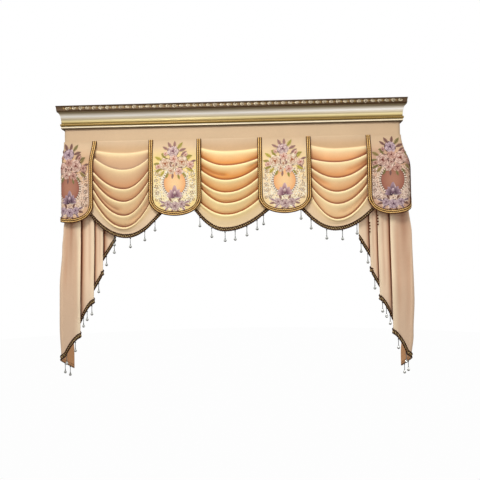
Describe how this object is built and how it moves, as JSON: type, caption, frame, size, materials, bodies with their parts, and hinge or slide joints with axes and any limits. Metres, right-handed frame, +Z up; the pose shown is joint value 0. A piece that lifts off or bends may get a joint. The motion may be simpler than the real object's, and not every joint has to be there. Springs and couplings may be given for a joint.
{
  "type": "pelmet valance with cornice box",
  "caption": "Swagged pelmet valance with embroidered round-ended tabs, pleated tails and bead-trimmed hems, hung from a gilt cornice box fixed to the wall.",
  "frame": {"origin": "middle of the top board's back face, on the wall", "axes": "+X along the cornice to the viewer's right, +Y into the wall, +Z up"},
  "size_m": [1.9812, 0.2702, 1.5456],
  "materials": {
    "cornice_gilt": "champagne gilt moulding, satin metallic, with an antiqued carved band",
    "board": "planed softwood, matt",
    "yoke_cloth": "plain beige furnishing cloth, fine weave, matt",
    "swag_cloth": "peach satin with a soft sheen",
    "panel_cloth": "cream cloth with raised floral embroidery",
    "gilt_braid": "twisted gilt cord braid with brown edges",
    "dark_braid": "dark brown twisted braid with a gilt line, hung with clear bead pendants"
  },
  "bodies": {
    "root": {"cornice_front": "cornice_gilt", "cornice_return_left": "cornice_gilt", "cornice_return_right": "cornice_gilt", "top_board": "board", "yoke": "yoke_cloth", "swag_left": "swag_cloth", "swag_centre": "swag_cloth", "swag_right": "swag_cloth", "tail_left": "swag_cloth", "tail_right": "swag_cloth", "tab_corner_left": "panel_cloth", "tab_left": "panel_cloth", "tab_right": "panel_cloth", "tab_corner_right": "panel_cloth", "braid_corner_left": "gilt_braid", "braid_left": "gilt_braid", "braid_right": "gilt_braid", "braid_corner_right": "gilt_braid", "swag_trim_left": "dark_braid", "swag_trim_centre": "dark_braid", "swag_trim_right": "dark_braid", "tail_trim_left": "dark_braid", "tail_trim_right": "dark_braid"}
  },
  "joints": []
}
